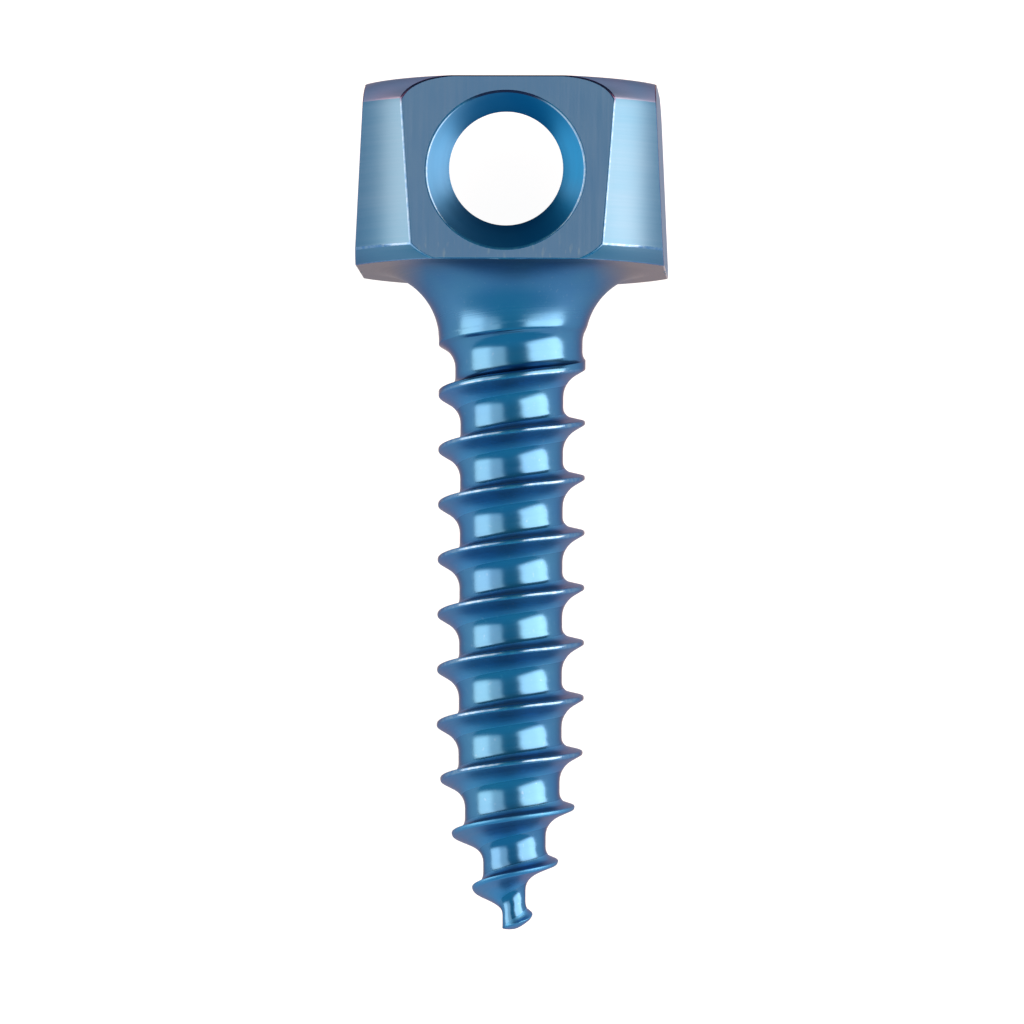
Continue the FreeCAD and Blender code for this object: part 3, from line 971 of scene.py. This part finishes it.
camera_data = bpy.data.cameras.new("camera")
camera_data.sensor_width = SENSOR
camera_data.lens = SENSOR * CAMERA_DISTANCE / (PHOTO_WIDTH / PIXELS_PER_MM)
camera_data.clip_start = 0.005
camera_data.clip_end = 5
camera = bpy.data.objects.new("camera", camera_data)
bpy.context.scene.collection.objects.link(camera)
bpy.context.scene.camera = camera
eye = (CAMERA_DISTANCE * math.sin(CAMERA_TURN), -CAMERA_DISTANCE * math.cos(CAMERA_TURN), CAMERA_HEIGHT)
up = from_upright((ROLL, 0, 1)) - from_upright((0, 0, 0))
look_at(camera, from_upright(eye), from_upright(AIM), up)
print("lens", round(camera_data.lens, 1), "mm")

# %% [markdown]
# ## Floor
# The floor is a pale sheet. The camera sees it glow at just under white, as a lit studio sweep does, and
# the rest of its brightness is plain light on a diffuse surface, so the screw's shadow stays. In
# reflections it is a little dimmer, as paper is away from the lamps.

# %% Floor
FLOOR_HALF = 1.0
FLOOR_GLOW = (0.96, 0.96, 0.96)
FLOOR_REFLECTED = (0.80, 0.82, 0.84)
floor_mesh = bpy.data.meshes.new("floor")
floor_mesh.from_pydata([(-FLOOR_HALF, -FLOOR_HALF, 0), (FLOOR_HALF, -FLOOR_HALF, 0),
                        (FLOOR_HALF, FLOOR_HALF, 0), (-FLOOR_HALF, FLOOR_HALF, 0)], [], [(0, 1, 2, 3)])
floor = bpy.data.objects.new("floor", floor_mesh)
bpy.context.scene.collection.objects.link(floor)


def make_floor():
    """Pale diffuse floor plus a glow that only the camera's rays and reflections see."""
    material = bpy.data.materials.new("pale floor")
    material.use_nodes = True
    tree = material.node_tree
    shader = tree.nodes["Principled BSDF"]
    shader.inputs["Base Color"].default_value = (0.2, 0.2, 0.2, 1)
    shader.inputs["Roughness"].default_value = 0.9
    shader.inputs["Specular IOR Level"].default_value = 0
    rays = add_node(tree, "ShaderNodeLightPath")
    seen = combined(tree, "MAXIMUM", rays.outputs["Is Camera Ray"], rays.outputs["Is Glossy Ray"])
    tree.links.new(seen, shader.inputs["Emission Strength"])
    glow = mixed(tree, rays.outputs["Is Glossy Ray"], FLOOR_GLOW, FLOOR_REFLECTED)
    tree.links.new(glow, shader.inputs["Emission Color"])
    return material


floor_mesh.materials.append(make_floor())

# %% [markdown]
# ## Lamps
# Two large softboxes stand left and right in front of the screw, and a dim studio fills the rest. In
# each root of the thread they show as two pale patches with a teal gap between them. The cloth of each
# is brightest towards its outer side, and the left one is in two tones, so its glow is a curve over the
# angle. Their light is warm, which keeps the highlights on the blue film from turning cyan.

# %% Softboxes
SOFTBOX_DISTANCE = 0.15
SOFTBOX_LENGTH = 0.19
SOFTBOX_TARGET = (0, -0.01, 0.003)
SOFTBOX_LIGHT = (1.0, 0.50, 0.34)


def glow_curve(tree, value, places, levels):
    """Strength over a place from 0 to 1: straight lines between the levels at the given places."""
    curve = add_node(tree, "ShaderNodeValToRGB")
    stops = curve.color_ramp.elements
    while len(stops) < len(places):
        stops.new(0.5)
    for stop, place, level in zip(stops, places, levels):
        stop.position = place
        stop.color = (level, level, level, 1)
    tree.links.new(value, curve.inputs["Fac"])
    return curve.outputs["Color"]


def softbox(name, angles, levels, radiance):
    """A panel along the screw whose glow has the levels at the given angles from the camera's side.

    The angles run from the panel's one edge to the other, in degrees, and a negative one lies to the
    left. A flat panel holds the tangent of the angle from its middle.
    """
    middle = (angles[0] + angles[-1]) / 2
    half_width = math.tan(math.radians(abs(angles[-1] - angles[0]) / 2))
    places = [0.5 + math.tan(math.radians(angle - middle)) / (2 * half_width) for angle in angles]
    lamp = bpy.data.lights.new(name, "AREA")
    lamp.shape = "RECTANGLE"
    lamp.size = 2 * SOFTBOX_DISTANCE * half_width
    lamp.size_y = SOFTBOX_LENGTH
    lamp.energy = math.pi * radiance * lamp.size * lamp.size_y
    lamp.color = SOFTBOX_LIGHT
    lamp.use_nodes = True
    tree = lamp.node_tree
    spot = add_node(tree, "ShaderNodeNewGeometry")
    parts = add_node(tree, "ShaderNodeSeparateXYZ")
    tree.links.new(spot.outputs["Parametric"], parts.inputs["Vector"])
    across = glow_curve(tree, parts.outputs["X"], places, levels)
    along = glow_curve(tree, parts.outputs["Y"], (0, 0.22, 0.92, 1), (0.2, 1, 1, 0.5))
    tree.links.new(combined(tree, "MULTIPLY", across, along), tree.nodes["Emission"].inputs["Strength"])
    thing = bpy.data.objects.new(name, lamp)
    bpy.context.scene.collection.objects.link(thing)
    thing.visible_camera = False
    target = np.array(SOFTBOX_TARGET)
    turn = math.radians(middle)
    place = target + SOFTBOX_DISTANCE * np.array([math.sin(turn), 0, math.cos(turn)])
    look_at(thing, place, target, (0, 1, 0))
    print(name, "is", round(lamp.size, 3), "m wide")


softbox("left softbox", (-88, -80, -52, -42, -20, -15), (0.7, 1, 1, 0.5, 0.45, 0), 6.3)
softbox("right softbox", (20, 30, 60, 72, 90, 94), (0, 0.8, 0.85, 1, 1, 0.8), 9.3)

# %% [markdown]
# ## Studio
# The rest of the room is a dim teal grey that falls off upwards in the picture, from below the tip to
# beyond the head. The metal shows it between the lamps' reflections, where it keeps the blue deep. It is
# a plain function of the ray's direction, which needs no picture.

# %% World
STUDIO_TONE = (0.22, 0.90, 1.0)
STUDIO_BRIGHT = 0.75
STUDIO_DIM = 0.30


def make_world():
    """A dim studio whose strength is a straight ramp over the y part of the ray's direction."""
    world = bpy.data.worlds.new("studio")
    world.use_nodes = True
    tree = world.node_tree
    background = tree.nodes["Background"]
    background.inputs["Color"].default_value = (*STUDIO_TONE, 1)
    way = add_node(tree, "ShaderNodeTexCoord")
    parts = add_node(tree, "ShaderNodeSeparateXYZ")
    tree.links.new(way.outputs["Generated"], parts.inputs["Vector"])
    level = remapped(tree, parts.outputs["Y"], -0.7, 0.6, STUDIO_BRIGHT, STUDIO_DIM)
    tree.links.new(level, background.inputs["Strength"])
    return world


bpy.context.scene.world = make_world()
bpy.context.scene.view_settings.view_transform = "Standard"
print("studio from", STUDIO_DIM, "to", STUDIO_BRIGHT)
